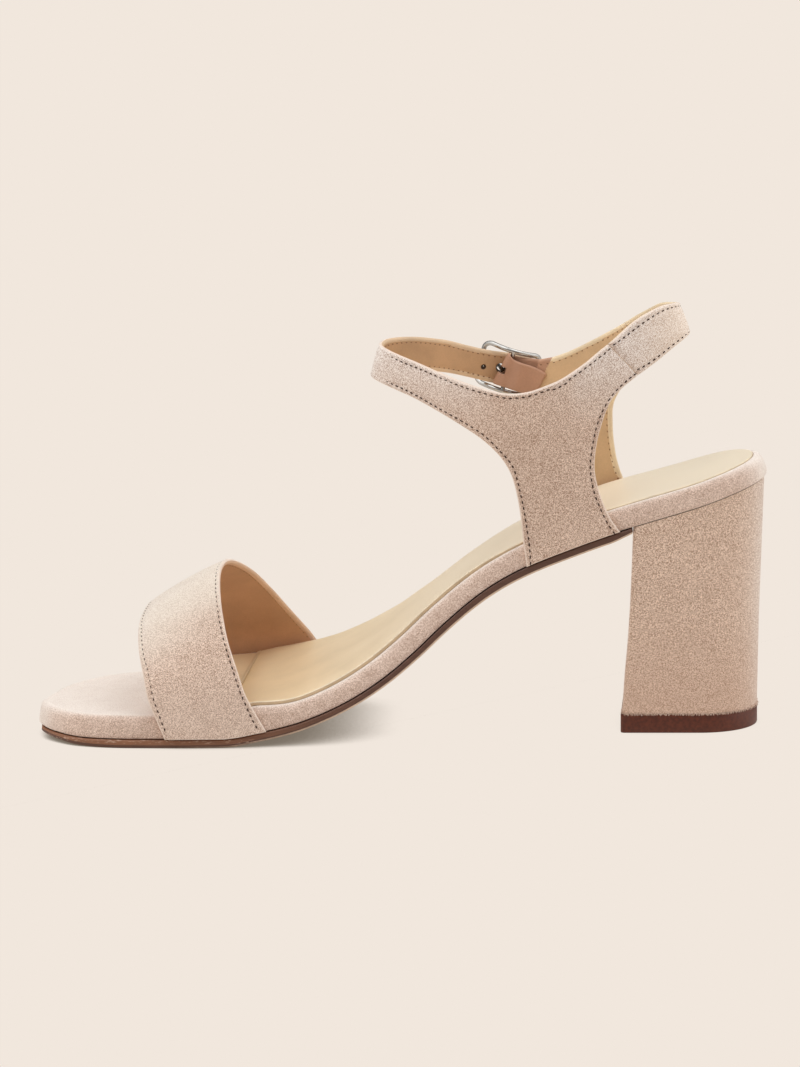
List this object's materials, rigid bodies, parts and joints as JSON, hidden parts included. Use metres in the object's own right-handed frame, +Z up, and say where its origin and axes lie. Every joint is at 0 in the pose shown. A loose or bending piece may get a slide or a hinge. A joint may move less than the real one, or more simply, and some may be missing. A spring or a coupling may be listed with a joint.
{
  "type": "heeled sandal",
  "caption": "Right heeled sandal: wide vamp strap, quarters with a buckled ankle strap, wrapped insole on a thin leather sole, and a suede-covered block heel.",
  "frame": {"origin": "on the floor, at the middle of the sandal's length and width", "axes": "+Z up, -X towards the toe, +Y towards the lateral side"},
  "size_m": [0.2324, 0.0859, 0.1375],
  "materials": {
    "upper_suede": "suede with a short nap",
    "insole_suede": "suede with a short nap",
    "heel_suede": "suede with a mottled nap",
    "sock": "smooth leather, soft gloss",
    "outsole": "waxed edge",
    "top_lift": "satin",
    "buckle": "polished"
  },
  "bodies": {
    "root": {"outsole": "outsole", "wrapped_insole": "insole_suede", "sock": "sock", "heel_block": "heel_suede", "top_lift": "top_lift", "vamp_strap": "upper_suede", "medial_quarter": "upper_suede", "back_strap": "upper_suede", "lateral_quarter": "upper_suede", "buckle_tab": "upper_suede", "buckle_frame": "buckle", "buckle_prong": "buckle"}
  },
  "joints": []
}
